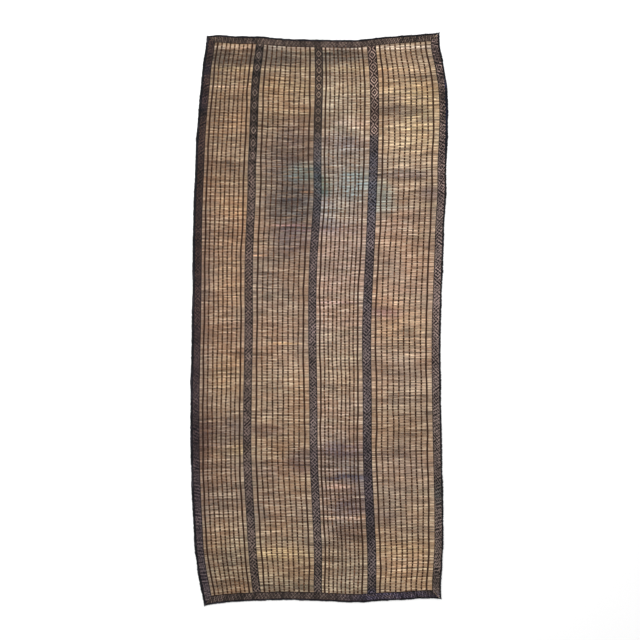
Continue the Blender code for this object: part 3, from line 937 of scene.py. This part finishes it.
edgingWear = {
    (1, 4): (
        (0.77, 1.2, 0.12, 0.28, (0.72, 0.9, 1.2)),  # navy where it bulges
    ),
}
edging = {
    "step": 0.0020,
    "pinchIn": 1.2,  # how far a stitch draws the rim in, in depths of its pinch
    "stitch": 0.0085,
    "deep": 0.00035,
    "shade": (14, 14, 20),
    "worn": (52, 48, 54),
    "dust": (70, 62, 62),
    "wornNoise": (14.0, 4.0, 0.65),
    "grain": (160.0, 3.0, 0.6),
    "pores": (600.0, 3.0, 0.6),
    "ragged": (0.0010, 4),  # how far its outer line strays, and over how many steps
    "inward": (0.0006, 9),
    "overlap": 0.0014,
    "outward": {"left": 0.0032, "right": 0.0010, "head": 0.0034, "foot": 0.0018},
    "reach": 0.0030,
    "slim": {"right": 0.007},  # how far the roll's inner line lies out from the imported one
    "bulge": {"side": "right", "centre": 1.20, "reach": 0.24, "width": 0.018},
    "freeEnd": 0.02,  # the lines keep still at the corners, and wander fully this far from them
    # the round section: shares of the width from the rim inward, with their heights
    "section": (
        (0.03, 0.0006), (0.00, 0.0026), (0.05, 0.0043), (0.14, 0.0055), (0.28, 0.0062), (0.45, 0.0065),
        (0.62, 0.0065), (0.80, 0.0062), (0.94, 0.0056), (1.00, 0.0046), (0.90, 0.0004),
    ),
    "girth": 0.0022,  # between two points of the section on the map
    "fold": 0.005,  # what the edging's flat width has beyond the width that shows
}


def edgingFinish():
    # near-black leather, worn grey by one noise and dusted by a finer one
    finish = Finish("edging_leather")
    worn = finish.noise(finish.where, *edging["wornNoise"])
    grain = finish.noise(finish.where, *edging["grain"])
    colour = finish.mix(finish.ease(worn, 0.45, 0.75), linear(edging["shade"]), linear(edging["worn"]))
    colour = finish.mix(finish.ease(grain, 0.6, 0.85) * 0.2, colour, linear(edging["dust"]))
    colour = finish.stains(colour, edgingWear, 1.0, False)
    finish.bump(finish.noise(finish.where, *edging["pores"]))
    return finish.done(colour, finish.ease(grain, 0.2, 0.8) * 0.25 + 0.55, 0.15)


def slimBy(side):
    # how far a side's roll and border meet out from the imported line, as x, y
    return edging["slim"].get(side, 0.0), 0.0


def makeEdging(side, axis, material):
    # the CAD section with a round outer side, pinched every stitch: z -= deep cos^12; both its
    # lines wander, and on one side its inner line bulges in: width exp(-((y - centre) / reach)^4)
    first, second, run = pair(rimOuter[side], rimInner[side] + slimBy(side), axis, edging["step"])
    share, height = np.array(edging["section"]).T
    pinch = edging["deep"] * np.cos(run / edging["stitch"] * math.pi) ** 12
    z = height[None, :] - pinch[:, None] * np.clip(height / height.max(), 0, 1) ** 2
    width = np.hypot(*(second - first).T)[:, None]
    inward = (second - first) / width
    free = np.clip(np.minimum(run, run[-1] - run) / edging["freeEnd"], 0, 1)[:, None]
    bulge = edging["bulge"]
    swell = bulge["width"] * np.exp(-(((first[:, 1:] - bulge["centre"]) / bulge["reach"]) ** 4))
    swell = swell * (side == bulge["side"])
    innerDrift = free * drift((len(run),), *edging["inward"])[:, None]
    outerDrift = free * drift((len(run),), *edging["ragged"])[:, None]
    second = second + inward * (swell + edging["overlap"] + innerDrift)
    first = first + inward * (outerDrift - edging["outward"][side])
    share = share[None, :] + (pinch[:, None] * edging["pinchIn"] / width) * (1 - share[None, :]) ** 3
    places = first[:, None] * (1 - share)[:, :, None] + second[:, None] * share[:, :, None]
    places[[0, -1], :, axis] += np.array([[-1], [1]]) * edging["reach"]
    grid = np.concatenate([places, z[:, :, None]], axis=2)[None]
    u = np.broadcast_to(np.arange(len(height) + 1) * edging["girth"], (1, len(run), len(height) + 1))
    v = np.broadcast_to(run[None, :, None], u.shape)
    piece = skin(f"edging_roll_{side}", grid, {"lay": (u, v)}, material)
    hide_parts(f"edging_{side}")


makeReeds()
makeThongs()
for name, lines in bands.items():
    look = bandLooks[name]
    finish = leather(f"band_leather_{name}", look, bandForm["width"])
    makeStrip("band", name, lines, 1, bandForm, finish, bandRelief(look))
borderFinishes = {
    name: leather(f"border_leather_{name}", look, borderForm["width"])
    for name, look in borderLooks.items()
}
rollFinish = edgingFinish()
for side, axis in sideAxes.items():
    lines = borderOuter[side] + slimBy(side), borderInner[side]
    finish = borderFinishes.get(side, borderFinishes["ends"])
    makeStrip("border", side, lines, axis, borderForm, finish, chevronRelief)
    makeEdging(side, axis, rollFinish)

# A pale floor, a soft studio light and the camera above
studio = {
    "floorHalf": 9,
    "floorLevel": -0.0005,
    "floorShade": (0.93, 0.93, 0.93, 1),
    "floorRough": 0.9,
    "worldStrength": 0.75,
    "boxSize": 5.0,
    "boxEnergy": 300,
    "boxPlace": (-2.0, 2.5, 5.0),
    "boxTurn": (-26.6, -21.8),
    "lens": 70,
    "sensor": 36,
    "frameWidth": 3.744,  # metres across the camera's frame, at the mat
    "eyePlace": (0.0032, -0.0032),
    "eyeBase": 0.006,
}
floorMesh = bpy.data.meshes.new("floor")
half, level = studio["floorHalf"], studio["floorLevel"]
floorPoints = [(x * half, y * half, level) for x, y in ((-1, -1), (1, -1), (1, 1), (-1, 1))]
floorMesh.from_pydata(floorPoints, [], [(0, 1, 2, 3)])
floorPaint = bpy.data.materials.new("floor_paint")
floorPaint.use_nodes = True
paint = floorPaint.node_tree.nodes["Principled BSDF"].inputs
paint["Base Color"].default_value = studio["floorShade"]
paint["Roughness"].default_value = studio["floorRough"]
floorMesh.materials.append(floorPaint)
floor = put("floor", floorMesh)

world = bpy.data.worlds.new("studio")
bpy.context.scene.world = world
world.use_nodes = True
sky = world.node_tree.nodes["Background"].inputs
sky["Color"].default_value = (1, 1, 1, 1)
sky["Strength"].default_value = studio["worldStrength"]

softBox = bpy.data.lights.new("soft_box", "AREA")
softBox.shape, softBox.size, softBox.size_y = "RECTANGLE", studio["boxSize"], studio["boxSize"]
softBox.energy = studio["boxEnergy"]
lamp = put("soft_box", softBox)
lamp.location = studio["boxPlace"]
lamp.rotation_euler = (*[math.radians(angle) for angle in studio["boxTurn"]], 0)

camera = bpy.data.cameras.new("camera")
camera.lens, camera.sensor_width = studio["lens"], studio["sensor"]
eye = put("camera", camera)
eyeHeight = studio["eyeBase"] + studio["frameWidth"] * studio["lens"] / studio["sensor"]
eye.location = (*studio["eyePlace"], eyeHeight)
bpy.context.scene.camera = eye
bpy.context.scene.view_settings.view_transform = "Standard"
